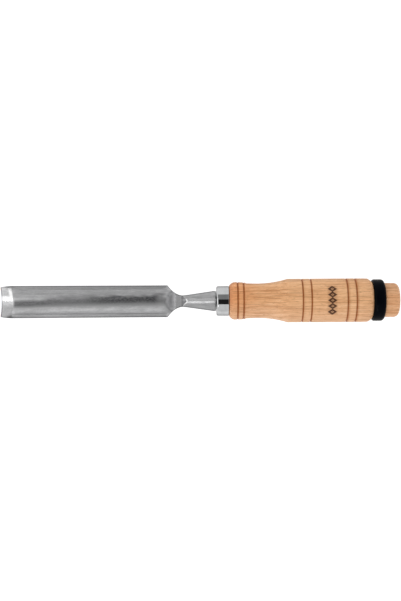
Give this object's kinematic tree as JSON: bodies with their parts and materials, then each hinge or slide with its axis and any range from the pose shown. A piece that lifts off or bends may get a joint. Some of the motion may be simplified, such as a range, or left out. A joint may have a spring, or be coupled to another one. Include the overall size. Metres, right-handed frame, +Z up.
{
  "type": "in-cannel gouge",
  "caption": "Hollow-bladed gouge chisel, ground on the inside of its curve, with a ferruled, turned wooden handle and a steel striking hoop around the butt.",
  "frame": {"origin": "on the surface the tool lies on, under the middle of its bounding box", "axes": "+X from the cutting edge towards the butt, +Z up, out of the blade's hollow. The tool lies on the back of its cutting edge and on the swell of its handle, so its own axis rises 3.08 degrees towards the butt."},
  "size_m": [0.2544, 0.0278, 0.0304],
  "materials": {
    "blade_steel": "ground",
    "ferrule_chrome": "polished",
    "handle_wood": "oiled",
    "hoop_black": "satin"
  },
  "bodies": {
    "root": {"blade": "blade_steel", "ferrule": "ferrule_chrome", "handle": "handle_wood", "striking_hoop": "hoop_black"}
  },
  "joints": []
}
